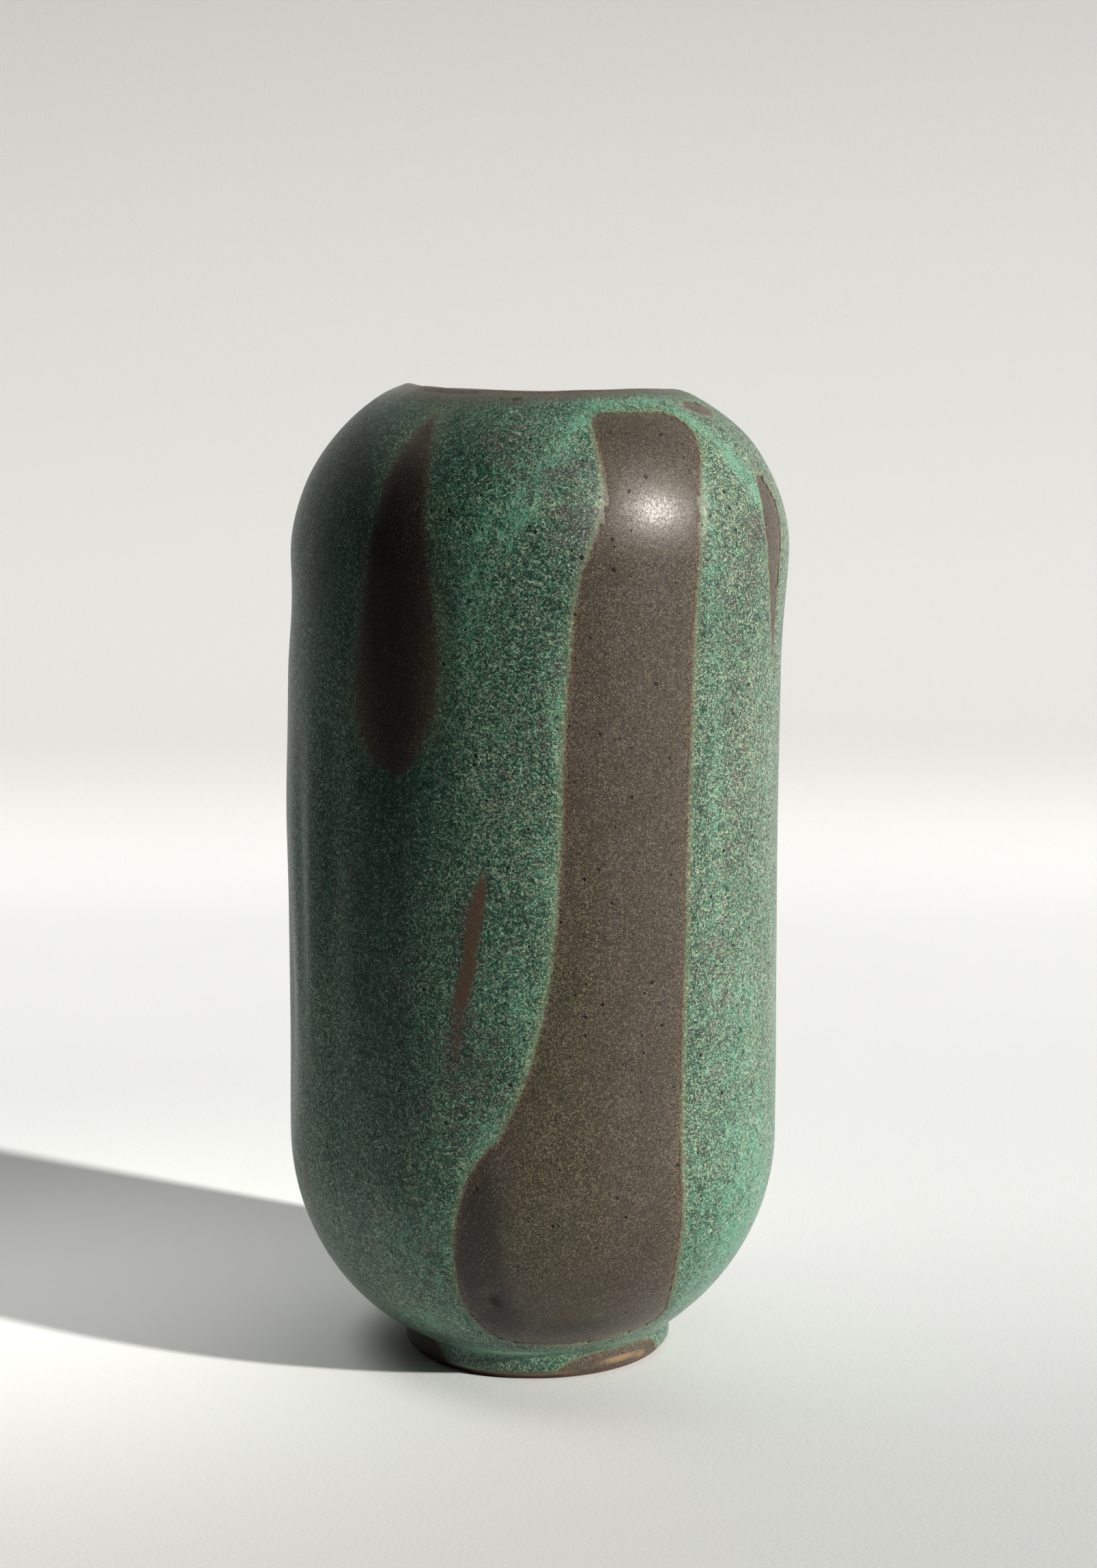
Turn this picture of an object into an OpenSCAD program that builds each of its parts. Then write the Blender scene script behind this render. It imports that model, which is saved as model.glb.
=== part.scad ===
// Thrown stoneware vase: a tall round-shouldered body on a low foot ring,
// with an iron glaze under a copper green glaze that has run open in front.
// Origin: centre of the standing ring, on the surface that the vase rests on.
// +Z is up and -Y is the front, where the large opening of the green glaze is.

/* [Body] */
// Outside radius of the glazed cylinder wall
body_r = 60.6; // [56:0.2:66]
// Outside radius of the mouth, measured on the glaze at the lip
mouth_r = 34; // [30:0.5:40]
// Thickness of the fired clay wall, which is also the lip's
wall_t = 5; // [4:0.2:6]
// Thickness of the clay floor
floor_t = 7; // [5:0.5:10]

/* [Curves] */
// Radius of the curve from the foot into the wall
bowl_arc = 57; // [54:0.5:58]
// Height at which that curve meets the straight wall
bowl_top = 55; // [54:0.5:57]
// Radius of the shoulder curve
shoulder_arc = 45; // [42:0.5:48]
// Height at which the shoulder starts
shoulder_z = 198; // [180:1:210]

/* [Foot] */
// Outside radius of the clay foot ring
foot_r = 32.5; // [30:0.5:34]
// Width of the foot ring, from its inner to its outer side
foot_w = 6.5; // [5:0.5:9]
// Height of the recess inside the foot ring
recess_h = 5.5; // [5:0.25:6]
// Radius of the foot ring's worn lower edges
foot_edge = 1.2; // [0.6:0.2:2]

/* [Glaze] */
// Thickness of the iron glaze, the first coat
iron_t = 0.5; // [0.4:0.1:0.8]
// Thickness of the copper green glaze, the second coat
green_t = 0.6; // [0.4:0.1:1]
// Thickness of the liner glaze on the inside
liner_t = 0.5; // [0.4:0.1:0.8]
// Height at which the iron glaze stops, on the foot
iron_stop = 1.5; // [1.2:0.1:2.5]
// Height at which the green glaze stops, above the foot
green_stop = 10; // [9:0.5:11]
// Angle round the shoulder curve by which the green glaze stops short of the lip
green_gap = 3; // [1:0.5:6]

/* [Hidden] */
$fn = 180;

far = 400;                          // longer than the vase in every direction
clay_in = iron_t + green_t;         // from the outer surface in to the clay
cavity_in = clay_in + wall_t;       // from the outer surface in to the clay's inner face
bowl_x = body_r - bowl_arc;         // centre of the bowl curve
shoulder_x = body_r - shoulder_arc; // centre of the shoulder curve
lip_r = wall_t / 2;
lip_tilt = asin((mouth_r - shoulder_x) / shoulder_arc); // the lip's angle round the shoulder curve
lip_path = shoulder_arc - clay_in - lip_r;              // from the shoulder's centre to the lip's
foot_in = foot_r - foot_w;
floor_z = recess_h + floor_t;

// Openings in the green coat, as seen from the front: x across, z up.
// The front one leans a little, narrows upwards and has a lobe low on its left.
front_window = [
    [15, 229], [21, 233], [30, 233], [36, 229], [37.5, 222], [37, 200],
    [36.5, 150], [35.5, 110], [34.5, 70], [34.5, 35], [33, 16], [27, 13.5],
    [14, 12], [-4, 13.5], [-13, 18.5], [-17.5, 28], [-18.5, 42], [-16, 56],
    [-10, 66], [-2, 83], [3, 100], [6, 130], [7.5, 175], [10, 196], [15, 210]
];
left_window = [
    [-25, 231], [-29, 228], [-33, 220], [-39, 194], [-41.5, 176], [-40.5, 163],
    [-35, 156], [-28, 157], [-24, 162], [-22, 175], [-23, 192], [-24.5, 213]
];

// Half profile of everything inside the outer surface, drawn in by inset.
// The shoulder runs on past the lip, so its top is cut by wall_side().
module inner_profile(inset) {
    intersection() {
        translate([0, -far]) square([far, 2 * far]);
        union() {
            intersection() {
                translate([bowl_x, bowl_top]) circle(r = bowl_arc - inset);
                square([far, bowl_top]);
            }
            translate([0, bowl_top]) square([body_r - inset, shoulder_z - bowl_top]);
            intersection() {
                translate([shoulder_x, shoulder_z]) circle(r = shoulder_arc - inset);
                translate([0, shoulder_z]) square([far, far]);
            }
        }
    }
}

// Places its children at a radius and angle round the shoulder curve,
// with their +X along the curve, away from the mouth.
module on_shoulder(radius, angle) {
    translate([shoulder_x, shoulder_z]) rotate(-angle) translate([0, radius]) children();
}

// The wall's side of a line across the shoulder, gap degrees short of the lip.
module wall_side(gap = 0) {
    on_shoulder(0, lip_tilt + gap) translate([0, -far]) square([far, 2 * far]);
}

// Coat or wall of even thickness between two insets, up to the lip.
module layer(outer, inner, gap = 0) {
    intersection() {
        difference() {
            inner_profile(outer);
            inner_profile(inner);
        }
        wall_side(gap);
    }
}

// Removes what lies below a height.
module above(z) {
    difference() {
        children();
        translate([-1, z - far]) square([far, far]);
    }
}

// Prism that cuts through the front of the green coat.
module window(outline) {
    rotate([90, 0, 0]) linear_extrude(height = far) polygon(outline);
}

module body() {
    color([0.55, 0.42, 0.31])
    rotate_extrude() {
        above(floor_z) layer(clay_in, cavity_in);
        intersection() {
            inner_profile(clay_in);
            translate([0, recess_h]) square([far, floor_t]);
        }
        on_shoulder(lip_path, lip_tilt) circle(r = lip_r);
    }
}

module foot_ring() {
    color([0.45, 0.34, 0.26])
    rotate_extrude()
    difference() {
        union() {
            translate([foot_in, foot_edge]) square([foot_w, bowl_top]);
            translate([foot_in + foot_edge, 0]) square([foot_w - 2 * foot_edge, foot_edge]);
            for (x = [foot_in + foot_edge, foot_r - foot_edge])
                translate([x, foot_edge]) circle(r = foot_edge);
        }
        above(recess_h) inner_profile(clay_in);
    }
}

module iron_glaze() {
    color([0.16, 0.08, 0.05])
    rotate_extrude() {
        difference() {
            union() {
                layer(green_t, clay_in);
                translate([0, iron_stop]) square([foot_r + iron_t, recess_h]);
            }
            inner_profile(clay_in);
            translate([0, -far]) square([foot_r, far + bowl_top]);
        }
        difference() {
            on_shoulder(lip_path, lip_tilt) circle(r = lip_r + iron_t);
            on_shoulder(lip_path, lip_tilt) circle(r = lip_r);
            wall_side();
        }
    }
}

module green_glaze() {
    color([0.18, 0.36, 0.30])
    difference() {
        rotate_extrude() above(green_stop) layer(0, green_t, green_gap);
        window(front_window);
        window(left_window);
    }
}

module liner_glaze() {
    color([0.35, 0.30, 0.24])
    rotate_extrude()
    difference() {
        above(floor_z) intersection() {
            inner_profile(cavity_in);
            wall_side();
        }
        above(floor_z + liner_t) inner_profile(cavity_in + liner_t);
    }
}

body();
foot_ring();
iron_glaze();
green_glaze();
liner_glaze();
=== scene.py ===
import math

import bmesh
import bpy
import numpy as np
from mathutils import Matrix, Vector


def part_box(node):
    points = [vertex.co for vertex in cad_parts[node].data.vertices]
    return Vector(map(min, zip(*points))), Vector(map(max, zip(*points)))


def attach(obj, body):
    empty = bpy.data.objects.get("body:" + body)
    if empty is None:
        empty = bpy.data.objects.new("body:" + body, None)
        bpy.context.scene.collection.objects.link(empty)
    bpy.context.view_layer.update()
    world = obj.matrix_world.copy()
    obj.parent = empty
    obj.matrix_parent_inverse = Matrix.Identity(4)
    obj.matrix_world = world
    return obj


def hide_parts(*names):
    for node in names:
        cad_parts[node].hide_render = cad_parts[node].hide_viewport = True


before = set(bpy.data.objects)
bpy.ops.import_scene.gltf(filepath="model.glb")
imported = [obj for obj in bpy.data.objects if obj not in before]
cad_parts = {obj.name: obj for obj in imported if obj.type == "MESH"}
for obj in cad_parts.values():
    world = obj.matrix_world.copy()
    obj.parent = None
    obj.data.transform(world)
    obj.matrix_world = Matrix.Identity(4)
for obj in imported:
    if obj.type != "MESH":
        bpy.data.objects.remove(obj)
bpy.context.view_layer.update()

# The maths below is in millimetres and degrees, as a potter would measure; meshes are in metres.
MM = 0.001


# ------------------------------------------------------------------ sizes, from the frame

def node_size(node):
    """(radius, lowest height, highest height) of a turned CAD node, in millimetres."""
    low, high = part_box(node)
    return (high.x - low.x) / 2 / MM, low.z / MM, high.z / MM


GREEN_R, _, _ = node_size("green_glaze")
IRON_R, _, _ = node_size("iron_glaze")
CLAY_R, RECESS_H, _ = node_size("body")
FOOT_R, _, _ = node_size("foot_ring")
LINER_R, FLOOR_Z, _ = node_size("liner_glaze")

GREEN_T = GREEN_R - IRON_R          # thickness of the green coat
CLAY_IN = GREEN_R - CLAY_R          # from the outer surface in to the clay
WALL_T = CLAY_R - LINER_R
LINER_T = 0.5

# Curves of the thrown form, which the frame's boxes don't hold.
BOWL_ARC, BOWL_TOP = 57.0, 55.0
SHOULDER_ARC, SHOULDER_Z = 45.0, 198.0
MOUTH_R = 34.0
FOOT_W = 6.5
FOOT_FILLET = 2.0                   # glaze pooled where the foot meets the bowl
FOOT_EDGE = 1.2
FLOOR_FILLET = 8.0

BOWL_X = GREEN_R - BOWL_ARC
SHOULDER_X = GREEN_R - SHOULDER_ARC
LIP_TILT = math.asin((MOUTH_R - SHOULDER_X) / SHOULDER_ARC)
LIP_R = WALL_T / 2
LIP_PATH = SHOULDER_ARC - CLAY_IN - LIP_R
LIP_X = SHOULDER_X + LIP_PATH * math.sin(LIP_TILT)
LIP_Z = SHOULDER_Z + LIP_PATH * math.cos(LIP_TILT)
FOOT_OUT = FOOT_R + CLAY_IN

SEGMENTS = 300                      # round the vase
STEP = 2.0                          # along the profile
AXIS_R = 1.0                        # radius of the circle that a section is swept round
MERGE = 2e-6                        # in metres; it can also catch part of the ring next to the axis
COVER_EDGE = -0.6                   # cover at which the green skin stops
COVER_SINK = -0.3                   # cover at which its edge starts to sink
COAT_OVERLAP = 0.16                 # how far the green skin reaches into the iron one, so no gap shows
CLAY_GAP = 0.02                     # how far the iron skin stays off the clay


# ------------------------------------------------------------------ half sections

def arc(cx, cz, radius, start, end, step=STEP, outward=1.0):
    """Points and unit normals along an arc. Angles are in degrees from +r towards +z."""
    count = max(3, int(abs(math.radians(end - start)) * radius / step) + 1)
    angle = np.radians(np.linspace(start, end, count))
    normal = np.column_stack((np.cos(angle), np.sin(angle)))
    return np.array([cx, cz]) + radius * normal, outward * normal


def straight(a, b, normal, step=STEP):
    """Points and unit normals along a line from a to b."""
    a, b = np.array(a, float), np.array(b, float)
    count = max(2, int(np.linalg.norm(b - a) / step) + 1)
    share = np.linspace(0, 1, count)[:, None]
    return a + (b - a) * share, np.tile(np.array(normal, float), (count, 1))


def joined(*stretches):
    """One line of points and normals, without the doubled points where stretches meet."""
    points = np.vstack([p for p, _ in stretches])
    normals = np.vstack([n for _, n in stretches])
    apart = np.ones(len(points), bool)
    apart[1:] = np.linalg.norm(np.diff(points, axis=0), axis=1) > 1e-4
    return points[apart], normals[apart]


def outer_line():
    """The outermost surface, from the foot's lower edge up and over the lip to its inner side."""
    reach = FOOT_OUT + FOOT_FILLET - BOWL_X
    drop = math.sqrt((BOWL_ARC + FOOT_FILLET) ** 2 - reach ** 2)
    fillet_z = BOWL_TOP - drop
    meets = math.degrees(math.atan2(-drop, reach))
    lip_angle = 90 - math.degrees(LIP_TILT)
    return joined(
        arc(FOOT_OUT - 1.4, 2.0, 1.4, -62, 0, 0.4),
        straight((FOOT_OUT, 2.0), (FOOT_OUT, fillet_z), (1, 0), 0.6),
        arc(FOOT_OUT + FOOT_FILLET, fillet_z, FOOT_FILLET, 180, meets + 180, 0.35, outward=-1),
        arc(BOWL_X, BOWL_TOP, BOWL_ARC, meets, 0),
        straight((GREEN_R, BOWL_TOP), (GREEN_R, SHOULDER_Z), (1, 0)),
        arc(SHOULDER_X, SHOULDER_Z, SHOULDER_ARC, 0, lip_angle),
        arc(LIP_X, LIP_Z, LIP_R + CLAY_IN, lip_angle, lip_angle + 180, 0.6),
    )


def inner_line():
    """The clay's inner face, from the lip's inner side down to the middle of the floor."""
    inset = CLAY_IN + WALL_T
    lip_angle = 90 - math.degrees(LIP_TILT)
    fillet_z = FLOOR_Z + FLOOR_FILLET
    radius = BOWL_ARC - inset
    fillet_x = BOWL_X + math.sqrt((radius - FLOOR_FILLET) ** 2 - (BOWL_TOP - fillet_z) ** 2)
    meets = math.degrees(math.atan2(fillet_z - BOWL_TOP, fillet_x - BOWL_X))
    return joined(
        arc(SHOULDER_X, SHOULDER_Z, SHOULDER_ARC - inset, lip_angle, 0, 2 * STEP, outward=-1),
        straight((GREEN_R - inset, SHOULDER_Z), (GREEN_R - inset, BOWL_TOP), (-1, 0), 2 * STEP),
        arc(BOWL_X, BOWL_TOP, radius, 0, meets, 2 * STEP, outward=-1),
        arc(fillet_x, fillet_z, FLOOR_FILLET, meets, -90, 2 * STEP, outward=-1),
        straight((fillet_x, FLOOR_Z), (0, FLOOR_Z), (0, 1), 2 * STEP),
    )


def run_lengths(points):
    """Distance along a line of points, from its first."""
    return np.concatenate(([0], np.cumsum(np.linalg.norm(np.diff(points, axis=0), axis=1))))


OUTER, OUTER_N = outer_line()
OUTER_RUN = run_lengths(OUTER)
LIP_TOP = int(np.argmax(OUTER[:, 1]))
LIP_TOP_RUN = OUTER_RUN[LIP_TOP]


def run_at(height):
    """Distance along the outer line at which it reaches a height, on the outside."""
    return np.interp(height, OUTER[:LIP_TOP, 1], OUTER_RUN[:LIP_TOP])


# ------------------------------------------------------------------ node graphs

class Value:
    """A node socket that can be used in sums. Any other node comes from Graph.node()."""

    def __init__(self, graph, socket):
        self.graph = graph
        self.socket = socket

    def _math(self, operation, *values):
        return self.graph.node("ShaderNodeMath", {"operation": operation}, dict(enumerate(values)))

    def __add__(self, other):
        return self._math("ADD", self, other)

    def __sub__(self, other):
        return self._math("SUBTRACT", self, other)

    def __mul__(self, other):
        return self._math("MULTIPLY", self, other)

    def __rsub__(self, other):
        return self._math("SUBTRACT", other, self)

    def __rtruediv__(self, other):
        return self._math("DIVIDE", other, self)

    __radd__ = __add__
    __rmul__ = __mul__

    def most(self, other):
        return self._math("MAXIMUM", self, other)

    def ramp(self, low, high):
        """0 below low, 1 above high, smooth between. low may be above high, which turns it over."""
        return self.graph.node(
            "ShaderNodeMapRange",
            {"interpolation_type": "SMOOTHSTEP"},
            {"Value": self, "From Min": low, "From Max": high, "To Min": 0.0, "To Max": 1.0},
        )


class Graph:
    """Builds a node tree from expressions."""

    def __init__(self, tree):
        self.tree = tree

    def node(self, kind, settings=None, inputs=None, output=0):
        """Adds a node, sets it up, fills its sockets with values or links and returns one output."""
        made = self.tree.nodes.new(kind)
        for name, value in (settings or {}).items():
            if name == "stops":
                self._set_stops(made.color_ramp, value)
            else:
                setattr(made, name, value)
        for key, value in (inputs or {}).items():
            socket = made.inputs[key]
            if isinstance(value, Value):
                self.tree.links.new(value.socket, socket)
            else:
                socket.default_value = value
        return Value(self, made.outputs[output]) if made.outputs else made

    @staticmethod
    def _set_stops(ramp, stops):
        while len(ramp.elements) < len(stops):
            ramp.elements.new(0.5)
        for element, (position, colour) in zip(ramp.elements, stops):
            element.position = position
            element.color = colour

    def mix(self, factor, low, high, blend="MIX"):
        """Mixes two colours."""
        made = self.tree.nodes.new("ShaderNodeMix")
        made.data_type = "RGBA"
        made.blend_type = blend
        for index, value in ((0, factor), (6, low), (7, high)):
            if isinstance(value, Value):
                self.tree.links.new(value.socket, made.inputs[index])
            else:
                made.inputs[index].default_value = value
        return Value(self, made.outputs[2])

    def attribute(self, name, output=2):
        """A number that the mesh carries. Output 1 is the vector."""
        return self.node("ShaderNodeAttribute", {"attribute_name": name}, output=output)

    def vector(self, operation, *values, output=0):
        return self.node("ShaderNodeVectorMath", {"operation": operation}, dict(enumerate(values)), output)

    def noise(self, at, scale, detail=2.0, roughness=0.5, warp=0.0, output=0):
        return self.node(
            "ShaderNodeTexNoise",
            {},
            {"Vector": at, "Scale": scale, "Detail": detail, "Roughness": roughness, "Distortion": warp},
            output,
        )

    def split(self, colour_value, channel=0):
        return self.node("ShaderNodeSeparateColor", {}, {"Color": colour_value}, channel)

    def cells(self, at, scale, feature="F1", output=0, randomness=1.0):
        return self.node(
            "ShaderNodeTexVoronoi",
            {"feature": feature},
            {"Vector": at, "Scale": scale, "Randomness": randomness},
            output,
        )


def colour(red, green, blue):
    return (red, green, blue, 1.0)


# ------------------------------------------------------------------ the thrown form

def throwing_tree():
    """Geometry Nodes that turn a half section into a thrown skin, with the hand's slow wobble."""
    tree = bpy.data.node_groups.new("throwing", "GeometryNodeTree")
    for name, kind, first in (
        ("Section", "NodeSocketObject", None),
        ("Segments", "NodeSocketInt", SEGMENTS),
        ("Axis radius", "NodeSocketFloat", AXIS_R * MM),
        ("Wobble", "NodeSocketFloat", 0.0),
        ("Wobble size", "NodeSocketFloat", 0.05),
        ("Seed", "NodeSocketFloat", 0.0),
        ("Finish", "NodeSocketMaterial", None),
    ):
        socket = tree.interface.new_socket(name=name, in_out="INPUT", socket_type=kind)
        if first is not None:
            socket.default_value = first
    tree.interface.new_socket(name="Geometry", in_out="OUTPUT", socket_type="NodeSocketGeometry")
    graph = Graph(tree)
    given = tree.nodes.new("NodeGroupInput")
    value = {socket.name: Value(graph, socket) for socket in given.outputs if socket.name}
    section = graph.node("GeometryNodeObjectInfo", {}, {"Object": value["Section"]}, "Geometry")
    profile = graph.node("GeometryNodeMeshToCurve", {}, {"Mesh": section})
    circle = graph.node(
        "GeometryNodeCurvePrimitiveCircle",
        {"mode": "RADIUS"},
        {"Resolution": value["Segments"], "Radius": value["Axis radius"]},
    )
    skin = graph.node("GeometryNodeCurveToMesh", {}, {"Curve": circle, "Profile Curve": profile})
    place = graph.node("GeometryNodeInputPosition")
    outward = graph.vector("NORMALIZE", graph.vector("MULTIPLY", place, (1.0, 1.0, 0.0)))
    slow = graph.node(
        "ShaderNodeTexNoise",
        {"noise_dimensions": "4D"},
        {"Vector": place, "W": value["Seed"], "Scale": 1.0 / value["Wobble size"], "Detail": 1.0},
    )
    push = graph.vector("SCALE", outward)
    graph.tree.links.new(((slow - 0.5) * value["Wobble"]).socket, push.socket.node.inputs["Scale"])
    moved = graph.node("GeometryNodeSetPosition", {}, {"Geometry": skin, "Offset": push})
    whole = graph.node("GeometryNodeMergeByDistance", {}, {"Geometry": moved, "Distance": 1e-6})
    real = graph.node("GeometryNodeRealizeInstances", {}, {"Geometry": whole})
    glazed = graph.node("GeometryNodeSetMaterial", {}, {"Geometry": real, "Material": value["Finish"]})
    result = tree.nodes.new("NodeGroupOutput")
    tree.links.new(glazed.socket, result.inputs[0])
    return tree


def section_object(points, run, closed):
    """A bare line of edges in its own XY plane, which carries the distance along it."""
    mesh = bpy.data.meshes.new("section")
    edges = [(i, i + 1) for i in range(len(points) - 1)]
    if closed:
        edges.append((len(points) - 1, 0))
    flat = [((r - AXIS_R) * MM, -z * MM, 0.0) for r, z in points]
    mesh.from_pydata(flat, edges, [])
    mesh.attributes.new("run", "FLOAT", "POINT").data.foreach_set("value", np.asarray(run, np.float32))
    made = bpy.data.objects.new("section", mesh)
    bpy.context.scene.collection.objects.link(made)
    return made


def thrown(points, finish, closed=False):
    """The turned skin of a half section, as arrays: vertex places in mm, faces, distance along it."""
    section = section_object(points, run_lengths(points), closed)
    holder = bpy.data.objects.new("turning", bpy.data.meshes.new("turning"))
    bpy.context.scene.collection.objects.link(holder)
    modifier = holder.modifiers.new("throwing", "NODES")
    modifier.node_group = THROWING
    inputs = {
        item.name: item.identifier
        for item in THROWING.interface.items_tree
        if item.item_type == "SOCKET" and item.in_out == "INPUT"
    }
    settings = {
        "Section": section, "Segments": SEGMENTS, "Axis radius": AXIS_R * MM,
        "Wobble": WOBBLE * MM, "Wobble size": WOBBLE_SIZE * MM, "Seed": WOBBLE_SEED, "Finish": finish,
    }
    for name, setting in settings.items():
        modifier[inputs[name]] = setting
    graph = bpy.context.evaluated_depsgraph_get()
    mesh = bpy.data.meshes.new_from_object(holder.evaluated_get(graph))
    places = np.empty(len(mesh.vertices) * 3, np.float32)
    mesh.vertices.foreach_get("co", places)
    places = places.reshape(-1, 3).astype(float) / MM
    along = np.empty(len(mesh.vertices), np.float32)
    mesh.attributes["run"].data.foreach_get("value", along)
    faces = [tuple(polygon.vertices) for polygon in mesh.polygons]
    bpy.data.objects.remove(holder)
    bpy.data.objects.remove(section)
    bpy.data.meshes.remove(mesh)
    return places, faces, along.astype(float)


WOBBLE, WOBBLE_SIZE, WOBBLE_SEED = 0.9, 55.0, 4.0
THROWING = throwing_tree()


# ------------------------------------------------------------------ the hand's marks

# The thrown centre wanders a little to the side as the wall goes up: height, offset.
LEAN = ((0, 0.0), (14, -1.1), (50, -0.9), (130, -0.8), (170, -0.4), (195, 0.4), (215, 1.0), (240, 1.5))

# The lip is not level: angle from the front, height over its turned level.
LIP_LEVEL = (
    (-180, -1.4), (-130, -0.6), (-90, 0.5), (-60, -0.2), (-30, -1.0), (0, -1.4),
    (20, -1.1), (45, -0.8), (70, -0.9), (100, -1.3), (140, -1.5), (180, -1.4),
)
LIP_EASE = (224.0, 238.0)           # heights between which the uneven lip fades in

# Dents and lumps: angle, height, half width, half height, depth. A lump's depth is negative.
DENTS = (
    (-50, 100, 4.5, 55, 0.75),
    (-60, 130, 5, 40, -0.35),
    (-38, 75, 7, 40, 0.45),
    (-90, 186, 16, 13, 0.75),
    (-66, 120, 4, 30, 0.5),
    (-76, 90, 4, 20, 0.45),
    (-44, 60, 5, 22, 0.4),
    (-88, 138, 18, 16, -0.35),
    (-92, 60, 14, 14, -0.35),
    (-84, 21, 3.5, 2.2, -0.9),
    (-9.8, 27.4, 3.0, 2.6, 1.3),
    (-9.2, 26.4, 1.5, 0.9, 0.9),
    (-12.5, 29.6, 2.6, 2.2, -0.5),
    (-16, 31, 5, 6, -0.25),
    (22.6, 50.2, 2.2, 2.0, -0.35),
    (24.5, 51.5, 4, 4, 0.15),
    (92, 150, 16, 45, 0.55),
    (88, 200, 16, 10, -0.6),
    (10, 160, 16, 40, 0.25),
    (150, 110, 14, 40, 0.6),
    (-150, 160, 12, 30, 0.5),
    (-125, 60, 16, 22, 0.45),
    (175, 190, 18, 14, -0.4),
    (120, 40, 12, 12, 0.4),
)


def eased(value, knots):
    """Smooth steps between knots, level at each one."""
    at, height = np.array(knots, float).T
    spot = np.clip(np.searchsorted(at, value, side="right") - 1, 0, len(at) - 2)
    share = np.clip((value - at[spot]) / (at[spot + 1] - at[spot]), 0, 1)
    share = share * share * (3 - 2 * share)
    return height[spot] + (height[spot + 1] - height[spot]) * share


def smooth(value, low, high):
    share = np.clip((value - low) / (high - low), 0, 1)
    return share * share * (3 - 2 * share)


def angle_of(places):
    """Degrees round the vase, 0 at the front (-Y) and 90 at the right (+X)."""
    return np.degrees(np.arctan2(places[:, 0], -places[:, 1]))


def around(angle, middle):
    """Distance round the wall from a middle angle, in mm."""
    return np.radians((angle - middle + 180) % 360 - 180) * GREEN_R


def hand_shaped(places):
    """Presses the dents in, then sets the lip's level and the lean."""
    places = places.copy()
    angle = angle_of(places)
    height = places[:, 2].copy()
    depth = np.zeros(len(places))
    for middle, level, wide, tall, deep in DENTS:
        across = around(angle, middle) / wide
        up = (height - level) / tall
        depth += deep * np.exp(-(across ** 2 + up ** 2))
    radius = np.hypot(places[:, 0], places[:, 1])
    kept = (radius - depth * smooth(radius, 20, 30)) / np.maximum(radius, 1e-6)
    places[:, :2] *= kept[:, None]
    places[:, 2] += eased(angle, LIP_LEVEL) * smooth(height, *LIP_EASE)
    places[:, 0] += eased(height, LEAN)
    return places


# ------------------------------------------------------------------ where the glazes lie

# Openings of the green coat: a closed outline of (angle, height), the width of its soft edge
# and how far it opens, where 1 is right through to the iron glaze.
OPENINGS = {
    "front": (2.6, 1.0, (
        (15.8, 229), (16.4, 232), (18.5, 233.5), (27, 233.7), (36, 233.7), (42, 233.4), (46, 232),
        (47.5, 229), (46, 225), (43, 220), (40.6, 215), (38.6, 205), (37.3, 192), (36.8, 175), (35.9, 148),
        (35.2, 112), (34.5, 84), (34.5, 60), (36.4, 36), (39.5, 24), (43, 17), (39, 13.4), (28, 11.8),
        (14, 10.8), (0, 11.5), (-10, 13), (-16, 17.5), (-19, 26), (-19, 40), (-16, 55), (-11.5, 64),
        (-8, 67.5), (-2, 82), (2.4, 100), (4.6, 118), (5.6, 136), (6.2, 157), (7.4, 177), (9.4, 195),
        (13.6, 207), (15.6, 214), (16, 221),
    )),
    "left": (6.5, 1.0, (
        (-33, 232.6), (-36, 226), (-37.6, 219), (-39, 207), (-40.5, 193), (-42.5, 179), (-43, 168),
        (-41, 159), (-36, 152), (-30, 151), (-25, 158), (-22, 168), (-21.3, 180), (-22.4, 192),
        (-24, 203), (-25.6, 214), (-28, 226),
    )),
    "right_sliver": (1.9, 1.0, (
        (65.5, 217.5), (69, 217.8), (73.5, 211), (72.8, 205), (71.4, 198), (70.4, 190), (70, 182),
        (69.4, 171), (68.3, 177), (66.6, 185), (64.6, 193), (63.2, 201), (62.8, 207), (63.6, 213),
    )),
    "rim_spot": (2.6, 0.95, ((55, 234.9), (60, 236.0), (67, 235.9), (71, 234.4), (67, 233.0), (60, 233.1))),
    "foot_left": (2.0, 1.0, (
        (-39, 0), (-42, 3), (-48, 6.6), (-58, 8.2), (-75, 8.4), (-95, 7.2), (-112, 6.4), (-118, 2),
        (-118, -6), (-39, -6),
    )),
    "foot_right": (1.6, 1.0, (
        (10, -6), (8, 1.2), (12, 3.6), (20, 5.2), (32, 5.8), (46, 5.9), (56, 5.2), (61, 3.2), (63, -6),
    )),
    "foot_back": (2.0, 1.0, (
        (96, -6), (100, 3.5), (112, 7.4), (135, 7.8), (155, 5.5), (172, 6.6), (190, 7.6), (208, 6.8),
        (222, 3.6), (226, -6),
    )),
    "back_tall": (3.5, 1.0, (
        (150, 226), (158, 229), (166, 226), (170, 210), (172, 180), (178, 140), (186, 95), (190, 60),
        (186, 36), (176, 26), (166, 30), (160, 48), (158, 90), (153, 140), (149, 185),
    )),
    "back_short": (4.0, 1.0, (
        (-118, 228), (-112, 230), (-107, 222), (-104, 195), (-106, 160), (-110, 132), (-115, 124),
        (-120, 134), (-123, 165), (-122, 200),
    )),
    "back_narrow": (3.0, 0.9, (
        (114, 206), (118, 208), (120, 190), (119, 160), (117, 130), (114, 112), (111, 130), (111, 170),
    )),
}

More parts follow.
